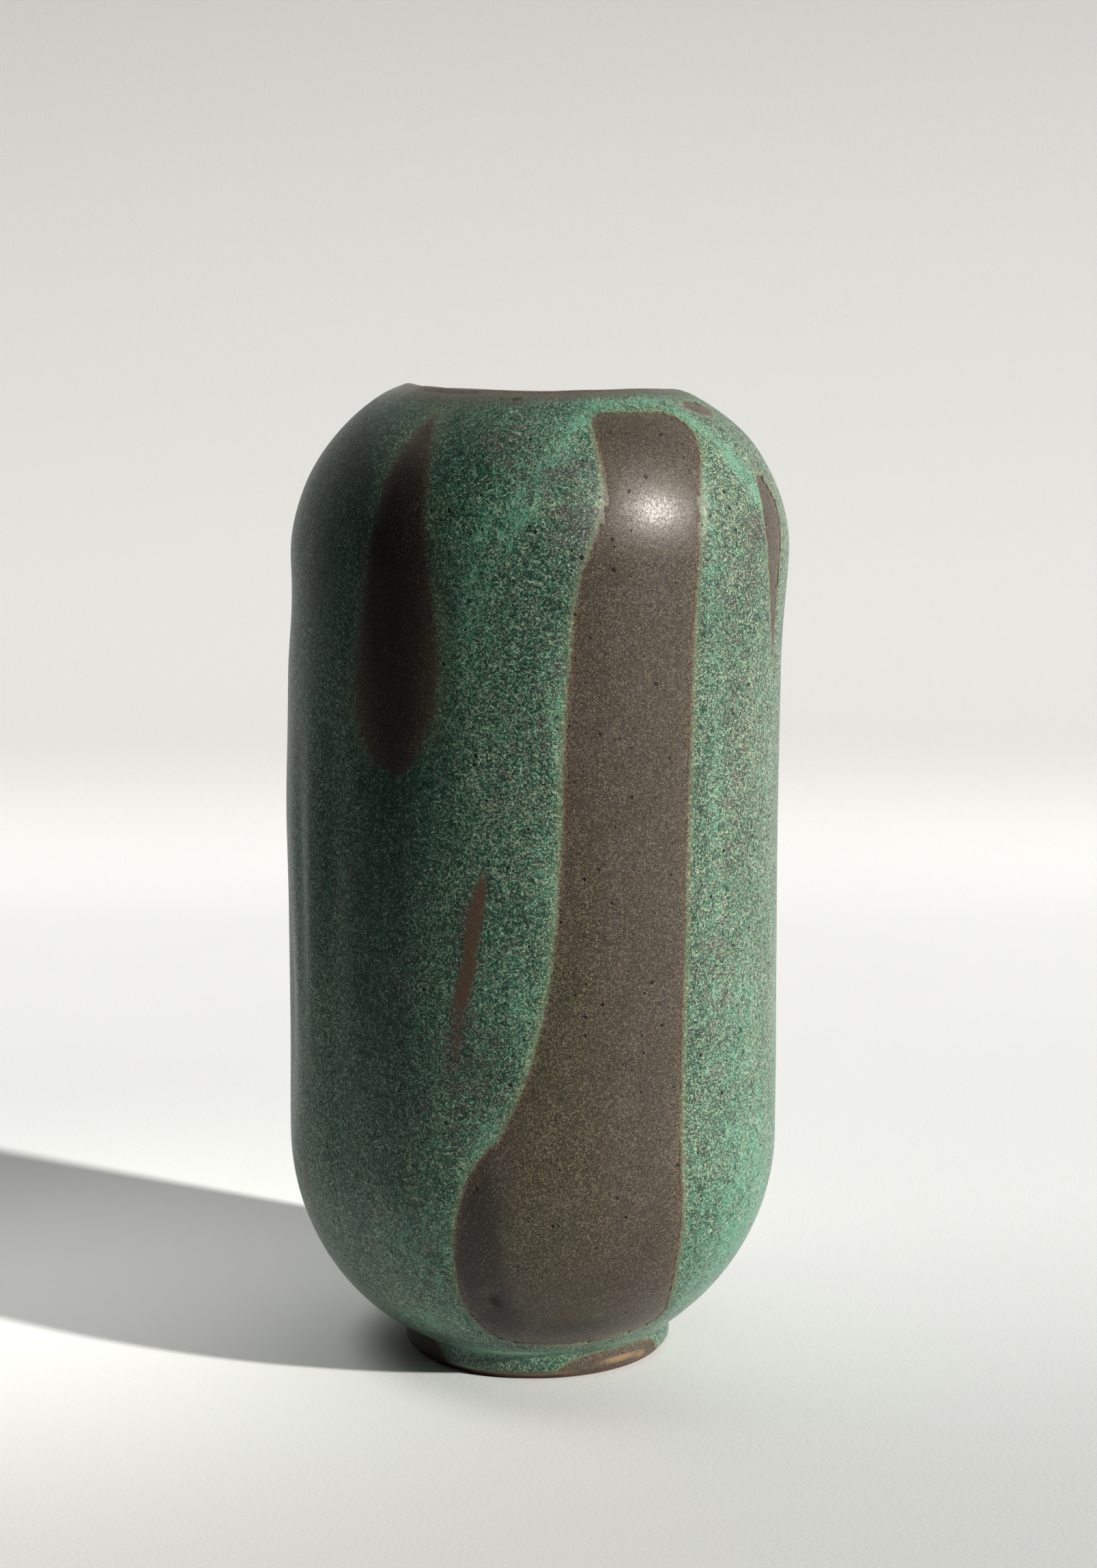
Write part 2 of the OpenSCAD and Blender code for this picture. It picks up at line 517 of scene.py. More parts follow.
# Patches: angle, height, half width, half height, turn in degrees, strength.
OLIVE = (
    (6, 92, 8, 30, -10, 1.1), (6, 58, 13, 26, 0, 1.15), (0, 40, 9, 20, 8, 0.9), (12, 26, 16, 12, 0, 0.6),
    (11, 122, 4, 24, 0, 0.8), (178, 60, 10, 24, 0, 0.8),
)
# Dark stains and painted shade. The near-black patch at the foot's left is a painted shadow under the bowl's
# overhang, and the two patches on the left opening darken it as painted shade. The thin patches at the foot's
# lower edge only darken it.
STAIN_AND_SHADE = (
    (-70, 4, 44, 7, 0, 1.5), (-25, 0.5, 30, 1.6, 0, 0.6), (150, 4, 60, 4, 0, 0.6),
    (26, 74, 4, 30, 0, 0.25), (28, 38, 7, 16, 0, 0.35), (-13, 38, 7, 26, 0, 1.1), (-10, 20, 10, 8, 0, 1.0),
    (12, 17, 20, 6, 0, 0.75), (20, 30, 20, 10, 0, 0.35), (24, 110, 4, 25, 0, 0.1), (-32, 190, 9, 45, 0, 1.3),
    (-30, 190, 12, 40, 0, 0.8), (168, 120, 5, 50, 0, 0.6), (30, 0.4, 30, 0.9, 0, 0.8),
    (-9.4, 26.6, 1.8, 0.8, 20, 1.6), (27, 228, 16, 7, 0, 0.35), (-6.8, 237.2, 3.0, 1.3, 0, 1.6),
)
# Pale teal and cream runs. The patch on the ledge over the foot at the front (angle -8, height 7.8) is
# painted light: it lightens the ledge, which the bowl shades from the sun.
PALE_AND_PAINTED_LIGHT = (
    (62, 36, 24, 40, 0, 0.75), (54, 72, 14, 50, 0, 0.45), (60, 150, 22, 70, 0, 0.15),
    (44, 120, 3, 90, 0, 0.45), (-3, 212, 5, 14, -30, 0.65), (5, 224, 4, 10, -45, 0.75),
    (12, 231, 4, 7, -60, 0.9), (-12, 203, 5, 17, -14, 0.5), (22, 236, 12, 2.4, 0, 0.9),
    (40, 236, 12, 2.6, 0, 0.9), (50, 231, 3.6, 9, 42, 1.0), (56.5, 222, 4, 9, 34, 1.0),
    (62, 213, 3.8, 8, 30, 0.95), (67, 206, 3, 6, 24, 0.8), (-3, 221, 3, 3, 0, 0.4),
    (-14, 190, 6, 20, -10, 0.4), (42, 205, 3, 25, 0, 0.4), (-28, 40, 14, 14, 20, 0.45),
    (-30, 18, 16, 7, 0, 0.6), (-8, 7.8, 26, 2.4, 0, 1.6), (40, 8, 24, 2.2, 0, 1.1), (75, 60, 9, 60, 0, 0.35),
    (-12, 66, 3, 10, -30, 0.6), (2.0, 90, 3, 14, -14, 0.8), (2, 130, 3, 12, 0, 0.5),
    (4, 165, 2.5, 16, 0, 0.5), (140, 222, 12, 6, 0, 0.8), (-6, 100, 6, 10, 0, 0.4),
    (-140, 210, 6, 18, 20, 0.6), (-70, 150, 8, 60, 0, 0.2),
)
VIOLET = (
    (-17.5, 92, 2.2, 14, -6, 1.2), (-16, 118, 1.5, 12, -10, 0.9), (5, 220, 9, 4.5, 20, 1.0),
    (15.5, 225, 1.6, 8, 0, 1.0), (9, 208, 9, 8, 10, 0.7), (60, 206, 7, 5, 20, 1.1), (55, 200, 6, 12, 0, 0.7),
    (48, 190, 10, 30, 0, 0.3), (50, 150, 10, 40, 0, 0.4), (46, 90, 8, 50, 0, 0.35), (-12, 85, 10, 20, 0, 0.4),
    (74, 218, 4, 3, 0, 0.6), (0, 160, 10, 30, 0, 0.25), (-9, 226, 10, 6, 0, 0.5), (25, 5, 10, 2, 0, 0.7),
    (66, 6, 8, 4, 0, 0.6), (135, 150, 12, 60, 0, 0.4), (-135, 120, 12, 40, 0, 0.4),
)
# Painted shade: darkens the glaze colour on the shaded left side, in the dimmer middle and along the rim.
# Under the left opening the glaze is also thinner.
SHADE_AND_THIN_GLAZE = (
    (-8, 195, 14, 30, 10, 0.30), (-3, 120, 12, 40, 0, 0.12), (-20, 60, 20, 40, 0, 0.25),
    (-32, 188, 13, 46, 0, 1.0), (-31, 148, 11, 14, 0, 1.0), (-33, 122, 12, 28, 0, 0.8),
    (-37, 90, 14, 40, 0, 0.55), (-54, 205, 16, 34, 0, 0.95), (-58, 150, 10, 40, 0, 0.4),
    (-20, 222, 16, 16, 0, 0.65), (-19, 175, 3, 40, 0, 0.5), (-24, 45, 8, 25, 0, 0.35),
    (2, 234, 26, 5, 0, 0.4), (-160, 80, 14, 50, 0, 0.4),
)
# Rust in the iron glaze. The two patches low on the foot's right, at angles 38 and 50, make its bronze band:
# bronze colour, painted light tan to stand in for the band's metallic sheen.
RUST_AND_SHEEN = (
    (-13.2, 118, 2.0, 13, -10, 1.3), (-15.2, 105, 2.2, 11, -12, 1.2), (-17.0, 92, 1.8, 12, -9, 0.7),
    (-66, 48, 2.5, 10, 0, 0.7), (-2, 1.5, 34, 1.6, 0, 0.7), (38, 3.2, 15, 1.1, 0, 1.0),
    (50, 2.6, 6, 1.6, 0, 0.8), (-7, 236.6, 3.2, 1.3, 0, 1.2),
)
CREAM_SPREAD = (
    (62, 205, 24, 30, 0, 1.0), (58, 150, 22, 45, 0, 0.9), (60, 95, 24, 40, 0, 0.7), (8, 216, 8, 12, 0, 0.5),
    (0, 140, 9, 40, 0, 0.25), (100, 150, 30, 60, 0, 0.6), (-120, 120, 20, 60, 0, 0.4),
    (150, 80, 20, 50, 0, 0.5),
)


def rounded(outline, per_side=6):
    """A closed Catmull-Rom curve through the outline's points."""
    points = np.array(outline, float)
    before, after, beyond = np.roll(points, 1, 0), np.roll(points, -1, 0), np.roll(points, -2, 0)
    share = np.linspace(0, 1, per_side, endpoint=False)[:, None, None]
    curve = 0.5 * (
        2 * points + (after - before) * share
        + (2 * before - 5 * points + 4 * after - beyond) * share ** 2
        + (3 * points - before - 3 * after + beyond) * share ** 3
    )
    return curve.transpose(1, 0, 2).reshape(-1, 2)


def distance_inside(across, up, outline):
    """Signed distance to a closed outline in the unrolled wall: negative inside it, in mm."""
    first, second = outline, np.roll(outline, -1, 0)
    nearest = np.full(len(across), np.inf)
    inside = np.zeros(len(across), bool)
    for (x0, y0), (x1, y1) in zip(first, second):
        dx, dy = x1 - x0, y1 - y0
        share = np.clip(((across - x0) * dx + (up - y0) * dy) / (dx * dx + dy * dy + 1e-12), 0, 1)
        nearest = np.minimum(nearest, (across - x0 - share * dx) ** 2 + (up - y0 - share * dy) ** 2)
        if y0 != y1:
            crosses = (y0 > up) != (y1 > up)
            inside ^= crosses & (across < dx * (up - y0) / dy + x0)
    return np.where(inside, -1, 1) * np.sqrt(nearest)


def green_cover(angle, run):
    """1 where the green coat is whole, 0 at the edge of an opening and -1 well inside it."""
    cover = np.ones(len(angle))
    for soft, opened, outline in OPENINGS.values():
        curve = rounded(outline)
        middle = curve[:, 0].mean()
        curve = np.column_stack((np.radians(curve[:, 0] - middle) * GREEN_R, outline_run(curve[:, 1])))
        across = around(angle, middle)
        low, high = curve.min(0) - 2 * soft, curve.max(0) + 2 * soft
        near = (across > low[0]) & (across < high[0]) & (run > low[1]) & (run < high[1])
        distance = distance_inside(across[near], run[near], curve)
        cover[near] = np.minimum(cover[near], np.clip(distance / soft, 1 - 2 * opened, 1))
    return cover


def outline_run(height):
    """Distance along the outer line for an outline's heights, carried on straight below the foot."""
    return np.where(height < OUTER[0, 1], height - OUTER[0, 1], run_at(height))


def patches(angle, run, spots):
    """0 to 1: how strongly a place lies in a list of soft patches."""
    total = np.zeros(len(angle))
    for middle, height, wide, tall, turn, strength in spots:
        across, up = around(angle, middle), run - run_at(height)
        cos, sin = math.cos(math.radians(turn)), math.sin(math.radians(turn))
        u, v = (across * cos + up * sin) / wide, (up * cos - across * sin) / tall
        total = np.maximum(total, strength * np.exp(-(u ** 2 + v ** 2)))
    return total


LIP_BARE = 1.6                      # width of the strip at the lip where the green coat has run off
FOOT_BARE = 1.0


def edge_cover(angle, run):
    """How the green coat ends below the lip and above the foot's edge."""
    wander = 0.7 * np.sin(np.radians(3 * angle + 40)) + 0.5 * np.sin(np.radians(7 * angle))
    thin_left = 1.6 * np.exp(-((angle + 40) / 45) ** 2)
    below_lip = (LIP_TOP_RUN - LIP_BARE - thin_left - wander * 0.5 - run) / 2.5
    above_edge = (run - FOOT_BARE - 0.3 * wander) / 1.5
    return np.clip(np.minimum(below_lip, above_edge), -1, 1)


# ------------------------------------------------------------------ meshes from arrays

class Skin:
    """The turned outer surface, from which every coat is drawn in."""

    def __init__(self):
        self.places, self.faces, self.run = thrown(OUTER, None)
        leaned = self.places.copy()
        leaned[:, 0] += eased(leaned[:, 2], LEAN)
        self.angle = angle_of(leaned)
        slope = [np.interp(self.run, OUTER_RUN, OUTER_N[:, axis]) for axis in (0, 1)]
        turn = np.radians(angle_of(self.places))
        self.normals = np.column_stack((slope[0] * np.sin(turn), -slope[0] * np.cos(turn), slope[1]))
        self.cover = np.minimum(green_cover(self.angle, self.run), edge_cover(self.angle, self.run))

    def drawn_in(self, inset):
        inset = np.broadcast_to(inset, len(self.places))
        return hand_shaped(self.places - self.normals * inset[:, None])

    def fields(self):
        """What the glaze materials read, for each vertex."""
        turn = np.radians(self.angle)
        flow = np.column_stack((np.sin(turn) * GREEN_R, -np.cos(turn) * GREEN_R, self.run))
        made = {"flow": flow, "cover": self.cover}
        for name, spots in (
            ("olive", OLIVE), ("stain", STAIN_AND_SHADE), ("pale", PALE_AND_PAINTED_LIGHT), ("violet", VIOLET),
            ("shady", SHADE_AND_THIN_GLAZE), ("rust", RUST_AND_SHEEN), ("cream", CREAM_SPREAD),
        ):
            made[name] = patches(self.angle, self.run, spots)
        reach = 9 + 9 * np.exp(-((self.angle + 26) / 34) ** 2)
        made["lip"] = smooth((self.run - LIP_TOP_RUN) / reach, -1, -0.05)
        made["foot"] = 1 - smooth(self.run, run_at(5.5), run_at(11))
        return made


def closed_shell(outer, inner, faces):
    """One closed skin from two layers with the same faces: (places, faces, index of each vertex)."""
    count = len(outer)
    edges = {}
    for face in faces:
        for start, end in zip(face, face[1:] + face[:1]):
            edges[(start, end)] = edges.get((start, end), 0) + 1
    border = [edge for edge in edges if (edge[1], edge[0]) not in edges]
    back = [tuple(count + i for i in reversed(face)) for face in faces]
    sides = [(end, start, count + start, count + end) for start, end in border]
    return np.vstack((outer, inner)), faces + back + sides, np.tile(np.arange(count), 2)


def without_unused(places, faces, index):
    used = np.zeros(len(places), bool)
    used[[i for face in faces for i in face]] = True
    renamed = np.cumsum(used) - 1
    return places[used], [tuple(int(renamed[i]) for i in face) for face in faces], index[used]


def piece(name, places, faces, material, fields=None, index=None):
    """A smooth mesh piece, in metres, with its fields, riding on the only body."""
    mesh = bpy.data.meshes.new(name)
    mesh.from_pydata((places * MM).tolist(), [], faces)
    for field, values in (fields or {}).items():
        values = np.asarray(values, np.float32)
        values = values if index is None else values[index]
        if values.ndim == 2:
            mesh.attributes.new(field, "FLOAT_VECTOR", "POINT").data.foreach_set("vector", values.ravel())
        else:
            mesh.attributes.new(field, "FLOAT", "POINT").data.foreach_set("value", values)
    work = bmesh.new()
    work.from_mesh(mesh)
    bmesh.ops.remove_doubles(work, verts=work.verts, dist=MERGE)
    bmesh.ops.dissolve_degenerate(work, edges=work.edges, dist=1e-7)
    bmesh.ops.recalc_face_normals(work, faces=work.faces)
    for face in work.faces:
        face.smooth = True
    work.to_mesh(mesh)
    work.free()
    mesh.set_sharp_from_angle(angle=math.radians(50))
    mesh.materials.append(material)
    made = bpy.data.objects.new(name, mesh)
    bpy.context.scene.collection.objects.link(made)
    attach(made, "root")
    return made


# ------------------------------------------------------------------ materials

def new_material(name):
    """An empty material with a Principled shader: (material, graph, shader node)."""
    material = bpy.data.materials.new(name)
    material.use_nodes = True
    tree = material.node_tree
    tree.nodes.clear()
    shader = tree.nodes.new("ShaderNodeBsdfPrincipled")
    output = tree.nodes.new("ShaderNodeOutputMaterial")
    tree.links.new(shader.outputs["BSDF"], output.inputs["Surface"])
    return material, Graph(tree), shader


def feed(graph, shader, **inputs):
    """Sets or links the shader's sockets. Underscores stand for the spaces in their names."""
    for name, value in inputs.items():
        socket = shader.inputs[name.replace("_", " ")]
        if isinstance(value, Value):
            graph.tree.links.new(value.socket, socket)
        else:
            socket.default_value = value


def bump(graph, height, depth):
    """A normal from a height of 0 to 1 that stands for depth in mm."""
    return graph.node("ShaderNodeBump", {}, {"Height": height, "Distance": depth * MM, "Strength": 1.0})


VEIN_GREEN = colour(0.006, 0.030, 0.020)
DEEP_GREEN = colour(0.006, 0.040, 0.026)
MID_GREEN = colour(0.016, 0.110, 0.076)
TEAL = colour(0.062, 0.235, 0.160)
PALE_TEAL = colour(0.230, 0.420, 0.275)
CREAM = colour(0.440, 0.520, 0.370)
BEIGE = colour(0.270, 0.290, 0.205)
VIOLET_GREY = colour(0.052, 0.050, 0.052)
FLOW_TEAL = colour(0.100, 0.335, 0.235)
SALT = colour(0.440, 0.440, 0.335)
PEPPER_BROWN = colour(0.050, 0.048, 0.036)
FRINGE = colour(0.190, 0.200, 0.105)
LIP_BROWN = colour(0.085, 0.082, 0.060)
IRON_BROWN = colour(0.075, 0.060, 0.043)
IRON_GREY = colour(0.070, 0.062, 0.054)
IRON_DARK = colour(0.019, 0.014, 0.011)
IRON_RUST = colour(0.100, 0.056, 0.034)
OLIVE_BROWN = colour(0.048, 0.046, 0.026)
GOLD_SPECK = colour(0.250, 0.200, 0.122)
TAN_SPECK = colour(0.200, 0.165, 0.125)
OLIVE_SPECK = colour(0.225, 0.240, 0.105)
# Light rust, and on the foot's bronze band a painted metallic sheen.
BRIGHT_RUST_AND_SHEEN = colour(0.300, 0.195, 0.105)
# Near black painted into each pinhole for the shade inside the hole; the holes are only a bump, not cut into
# the mesh.
PIT_SHADE = colour(0.004, 0.007, 0.006)


def pinholes(graph, at, scale, radius, kept, shift):
    """1 in the middle of scattered pinholes, 0 elsewhere. Scale is cells per mm, radius in mm."""
    at = graph.vector("ADD", at, shift)
    lot = graph.split(graph.cells(at, scale, output=1))
    size = radius * scale
    return graph.cells(at, scale).ramp(size * 1.2, size * 0.7) * lot.ramp(1 - kept, 1.02 - kept)


class Grain:
    """The patterns that both glazes share, in millimetres on the unrolled wall."""

    def __init__(self, graph):
        self.flow = graph.attribute("flow", 1)
        drift = graph.vector("SUBTRACT", graph.noise(self.flow, 0.09, 2.0, output=1), (0.5, 0.5, 0.5))
        self.drawn = graph.vector("ADD", self.flow, graph.vector("MULTIPLY", drift, (14.0, 14.0, 6.0)))
        ripple = graph.vector("SUBTRACT", graph.noise(self.flow, 2.6, 1.0, output=1), (0.5, 0.5, 0.5))
        at = graph.vector("MULTIPLY", self.drawn, (1.0, 1.0, 0.72))
        self.at = graph.vector("ADD", at, graph.vector("MULTIPLY", ripple, (0.7, 0.7, 0.7)))
        self.edge = graph.cells(self.at, 2.3, "DISTANCE_TO_EDGE")
        self.lot = graph.cells(self.at, 2.3, output=1)
        self.fleck = graph.noise(self.at, 3.7, 2.0, 0.65)
        self.fine = graph.noise(self.flow, 5.0, 1.0, 0.6)
        self.patchy = graph.noise(self.drawn, 0.45, 3.0, 0.6)
        self.broad = graph.noise(graph.vector("MULTIPLY", self.drawn, (1.0, 1.0, 0.4)), 0.085, 3.0, 0.55)
        self.streaks = graph.noise(graph.vector("MULTIPLY", self.drawn, (1.0, 1.0, 0.14)), 0.75, 3.0, 0.6)


def fired_glaze(name):
    """Copper green over iron brown: which of the two shows depends on the mesh's cover field."""
    material, graph, shader = new_material(name)
    grain = Grain(graph)
    cover = graph.attribute("cover")
    jag = (grain.fleck - 0.5) * 1.6 + (grain.fine - 0.5) * 1.0 + (grain.patchy - 0.5) * 0.8
    shown = (cover * 1.6 + jag).ramp(-0.14, 0.22)
    # 1 outside the painted shade, so the light fringe fades in it.
    lit = (1.0 - graph.attribute("shady") * 1.5).most(0.0)
    fringe = (cover * 1.6 + jag * 1.6).ramp(1.05, 0.30) * shown * lit
    lip = (graph.attribute("lip") + (grain.fleck - 0.5) * 1.4 + (grain.patchy - 0.5) * 0.8).ramp(0.22, 0.95)

    green = graph.mix(fringe * 0.55, green_colour(graph, grain), FRINGE)
    green = graph.mix(lip * 0.85, green, LIP_BROWN)
    rust = (graph.attribute("rust") + (grain.fine - 0.5) * 0.6 + (grain.fleck - 0.5) * 0.8).ramp(0.30, 0.85)
    green = graph.mix(rust * 0.88, green, IRON_RUST)
    # Dark stains, and the painted shade at the foot's left and on the left opening, turn the green near
    # black.
    green = graph.mix(graph.attribute("stain").ramp(0.7, 1.3) * 0.85, green, IRON_DARK)
    surface = graph.mix(shown, brown_colour(graph, grain, cover), green)
    # Pinholes: painted shade inside each hole, with a bump inward.
    pits = pinholes(graph, grain.flow, 0.17, 0.50, 0.55, (0.0, 0.0, 0.0)).most(
        pinholes(graph, grain.flow, 0.30, 0.33, 0.45, (11.0, 5.0, 3.0)))
    surface = graph.mix(pits, surface, PIT_SHADE)

    glint = graph.split(graph.cells(grain.flow, 3.0, output=1), 2)
    roughness = 0.46 + shown * 0.03 + (glint - 0.5) * 0.24
    relief = grain.fleck * (0.35 + shown * 0.45) + grain.fine * 0.20 + glint * 0.36 - pits * 3.5
    feed(
        graph, shader, Base_Color=surface, Roughness=roughness, IOR=1.52,
        Sheen_Weight=0.06, Sheen_Roughness=0.30,
        Coat_Weight=0.55, Coat_Roughness=0.31, Coat_IOR=1.20, Normal=bump(graph, relief, 0.045),
    )
    return material


def green_colour(graph, grain):
    """Curdled flecks of deep and pale green between dark veins, drawn down the wall."""
    # pale: pale runs, and painted light on the ledge over the foot.
    pale = graph.attribute("pale")
    # Painted shade: lowers the tone and dims the salt specks below.
    shady = graph.attribute("shady")
    violet = graph.attribute("violet")
    lot = graph.split(grain.lot)
    cream = graph.attribute("cream")
    tone = 0.40 + (grain.fleck - 0.5) * 1.6 + (grain.fine - 0.5) * 1.4 + (lot - 0.5) * 1.0
    tone = tone + (grain.patchy - 0.5) * 0.4 + (grain.broad - 0.5) * 0.6
    tone = tone + (grain.streaks - 0.5) * (0.40 + pale * 0.7)
    tone = tone + pale * 0.22 + cream * 0.10 - shady * 0.30
    base = graph.node(
        "ShaderNodeValToRGB",
        {"stops": (
            (0.05, DEEP_GREEN), (0.30, MID_GREEN), (0.52, TEAL), (0.75, PALE_TEAL), (1.00, CREAM),
        )},
        {"Fac": tone},
    )
    beige = (graph.split(grain.lot, 1) + (grain.patchy - 0.5) * 0.7).ramp(0.52, 0.85)
    base = graph.mix(beige * (0.22 + cream * 0.40 - pale * 0.1), base, BEIGE)
    vein = (grain.edge + (grain.fleck - 0.5) * 0.35).ramp(0.15, 0.02)
    base = graph.mix(vein * (0.80 - pale * 0.35), base, VEIN_GREEN)
    cluster = grain.patchy + violet * 0.33 + (grain.broad - 0.5) * 0.25
    mesh = (grain.edge + (grain.fleck - 0.5) * 0.4).ramp(0.34, 0.12)
    base = graph.mix(cluster.ramp(0.59, 0.70) * mesh * 0.9, base, VIOLET_GREY)
    blots = graph.noise(grain.drawn, 0.22, 2.0, 0.5)
    flows = pale + (grain.streaks - 0.5) * 1.7 + (grain.fleck - 0.5) * 1.1 + (blots - 0.5) * 1.2
    base = graph.mix(flows.ramp(0.12, 1.00) * 0.66, base, FLOW_TEAL)
    # Where pale is strongest, on the strongest runs and as painted light on the foot's ledge, it turns pale
    # teal and then cream.
    base = graph.mix((pale + (grain.fleck - 0.5) * 0.5).ramp(0.85, 1.15) * 0.7, base, PALE_TEAL)
    base = graph.mix((pale + (grain.fleck - 0.5) * 1.2).ramp(1.05, 1.60) * 0.8, base, CREAM)
    small = graph.cells(grain.flow, 3.5, output=1)
    salt = (graph.split(small) + (grain.patchy - 0.5) * 0.4 + (grain.broad - 0.5) * 0.3).ramp(0.70, 0.84)
    base = graph.mix(salt * (0.38 + cream * 0.36 - shady * 0.34), base, SALT)
    pepper = (graph.split(small, 1) + (grain.patchy - 0.5) * 0.3).ramp(0.32, 0.18)
    return graph.mix(pepper * (0.85 - pale * 0.35), base, graph.mix(cream * 0.8, VEIN_GREEN, PEPPER_BROWN))


def brown_colour(graph, grain, cover):
    """Iron brown with gold-tan crystals, olive where a little copper has run into it."""
    olive = graph.attribute("olive")
    stain = graph.attribute("stain")
    cloud = graph.noise(grain.drawn, 0.14, 3.0, 0.6)
    dots = graph.cells(grain.flow, 1.7)
    lot = graph.split(graph.cells(grain.flow, 1.7, output=1))
    grit = graph.noise(grain.flow, 3.0, 2.0, 0.75)
    base = graph.mix((cloud - 0.5).ramp(-0.15, 0.20), IRON_BROWN, IRON_GREY)
    # Dark stains, and painted shade at the foot's left and on the left opening.
    base = graph.mix((stain + (cloud - 0.5) * 0.6).ramp(0.1, 0.9) * 0.93, base, IRON_DARK)
    # 1 outside the painted shade, so the rust near the openings fades in it.
    lit = (1.0 - graph.attribute("shady") * 1.3).most(0.0)
    near = (cover + (grain.broad - 0.5) * 1.4 + (grain.fine - 0.5) * 0.4).ramp(-1.0, 0.1) * lit
    base = graph.mix(near * 0.30, base, IRON_RUST)
    line = (cover + (grain.fleck - 0.5) * 0.6).ramp(-0.75, -0.15) * lit
    base = graph.mix(line * 0.40, base, IRON_RUST)
    clouded = (olive + (cloud - 0.5) * 1.1 + (grit - 0.5) * 0.9).ramp(0.25, 0.85)
    base = graph.mix(clouded * 0.85, base, OLIVE_BROWN)
    base = graph.mix(grit.ramp(0.48, 0.34) * 0.7, base, IRON_DARK)
    many = near * 0.35 + clouded * 0.2 + (cloud - 0.5) * 0.8 - stain * 0.9
    gold = dots.ramp(0.42, 0.16) * (lot + many).ramp(0.15, 0.85)
    gold = gold.most(grit.ramp(0.55, 0.68) * 0.6)
    base = graph.mix(gold * 0.85, base, GOLD_SPECK)
    green = grain.edge.ramp(0.18, 0.36) * (clouded + near * 0.35) * grain.fleck.ramp(0.42, 0.60)
    base = graph.mix(green * 0.95, base, OLIVE_SPECK)
    small = graph.cells(grain.flow, 2.8, output=1)
    glow = (graph.split(small) + (cloud - 0.5) * 0.7 + (near - stain) * 0.15).ramp(0.74, 0.94)
    base = graph.mix(glow * 0.45, base, TAN_SPECK)
    base = graph.mix(graph.split(small, 1).ramp(0.30, 0.12) * 0.60, base, IRON_DARK)
    # Rust, and on the foot's bronze band a painted metallic sheen.
    rust = (graph.attribute("rust") + (grain.fine - 0.5) * 0.9).ramp(0.35, 1.0)
    return graph.mix(rust * 0.85, base, BRIGHT_RUST_AND_SHEEN)


def bare_clay(name, tone, dark):
    """Fired, unglazed stoneware: toasted brown with iron specks."""
    material, graph, shader = new_material(name)
    at = graph.vector("SCALE", graph.node("ShaderNodeTexCoord", output="Object"))
    at.socket.node.inputs["Scale"].default_value = 1 / MM
    speck = graph.noise(at, 1.8, 2.0, 0.6)
    cloud = graph.noise(at, 0.12, 3.0, 0.6)
    base = graph.mix(cloud.ramp(0.35, 0.7), tone, dark)
    base = graph.mix(speck.ramp(0.62, 0.72), base, colour(0.03, 0.02, 0.015))
    feed(
        graph, shader, Base_Color=base, Roughness=0.78 + (speck - 0.5) * 0.2,
        Normal=bump(graph, speck, 0.08),
    )
    return material


def liner_finish(name):
    """Smooth satin brown liner glaze, darker in soft clouds."""
    material, graph, shader = new_material(name)
    at = graph.vector("SCALE", graph.node("ShaderNodeTexCoord", output="Object"))
    at.socket.node.inputs["Scale"].default_value = 1 / MM
    cloud = graph.noise(at, 0.08, 3.0, 0.6)
    speck = graph.noise(at, 2.0, 2.0, 0.7)
    base = graph.mix(cloud.ramp(0.35, 0.7), IRON_BROWN, IRON_DARK)
    base = graph.mix(speck.ramp(0.60, 0.70) * 0.6, base, GOLD_SPECK)
    # Pinholes: painted shade inside each hole, with a bump inward.
    pits = pinholes(graph, at, 0.16, 0.3, 0.4, (2.0, 3.0, 4.0))
    base = graph.mix(pits, base, PIT_SHADE)
    feed(
        graph, shader, Base_Color=base, Roughness=0.36 + (speck - 0.5) * 0.15, IOR=1.5,
        Normal=bump(graph, speck * 0.4 - pits * 3.0, 0.045),
    )
    return material


# ------------------------------------------------------------------ the pieces

IRON_INSET = 0.30                   # from the outer surface in to the iron glaze, where it is bare


def iron_inset(skin):
    """The iron coat lies deeper under the green coat than in its openings."""
    return IRON_INSET + (GREEN_T - IRON_INSET) * smooth(skin.cover, -0.4, 1.0)


def green_coat(skin):
    """The copper green coat: thick in the runs, thinned to nothing round its openings."""
    swell = 0.16 * patches(skin.angle, skin.run, PALE_AND_PAINTED_LIGHT)
    above = 0.02 + (IRON_INSET - 0.02 + swell) * smooth(skin.cover, -0.3, 1.0)
    sinking = smooth(skin.cover, COVER_SINK, COVER_EDGE)
    faces = [face for face in skin.faces if skin.cover[list(face)].min() > COVER_EDGE]
    outer = skin.drawn_in(IRON_INSET - above + 0.05 * sinking)
    inner = skin.drawn_in(iron_inset(skin) + COAT_OVERLAP)
    shell = without_unused(*closed_shell(outer, inner, faces))
    places, faces, index = shell
    made = piece("copper_green_coat", places, faces, fired_glaze("copper_green"), skin.fields(), index)
    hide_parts("green_glaze")
    return made


def iron_coat(skin):
    """The iron coat under it, bare in the openings, over the lip and down the foot."""
    outer = skin.drawn_in(iron_inset(skin))
    inner = skin.drawn_in(CLAY_IN - CLAY_GAP)
    places, faces, index = closed_shell(outer, inner, skin.faces)
    made = piece("iron_brown_coat", places, faces, fired_glaze("iron_brown"), skin.fields(), index)
    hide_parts("iron_glaze")
    return made


def liner():
    """The liner glaze on the inside, from the lip's inner side over the floor."""
    points, normals = inner_line()
    finish = liner_finish("liner_brown")
    inner, faces, _ = thrown(points, finish)
    outer, _, _ = thrown(points + LINER_T * normals, finish)
    places, faces, _ = closed_shell(hand_shaped(outer), hand_shaped(inner), faces)
    made = piece("liner_coat", places, faces, finish)
    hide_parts("liner_glaze")
    return made


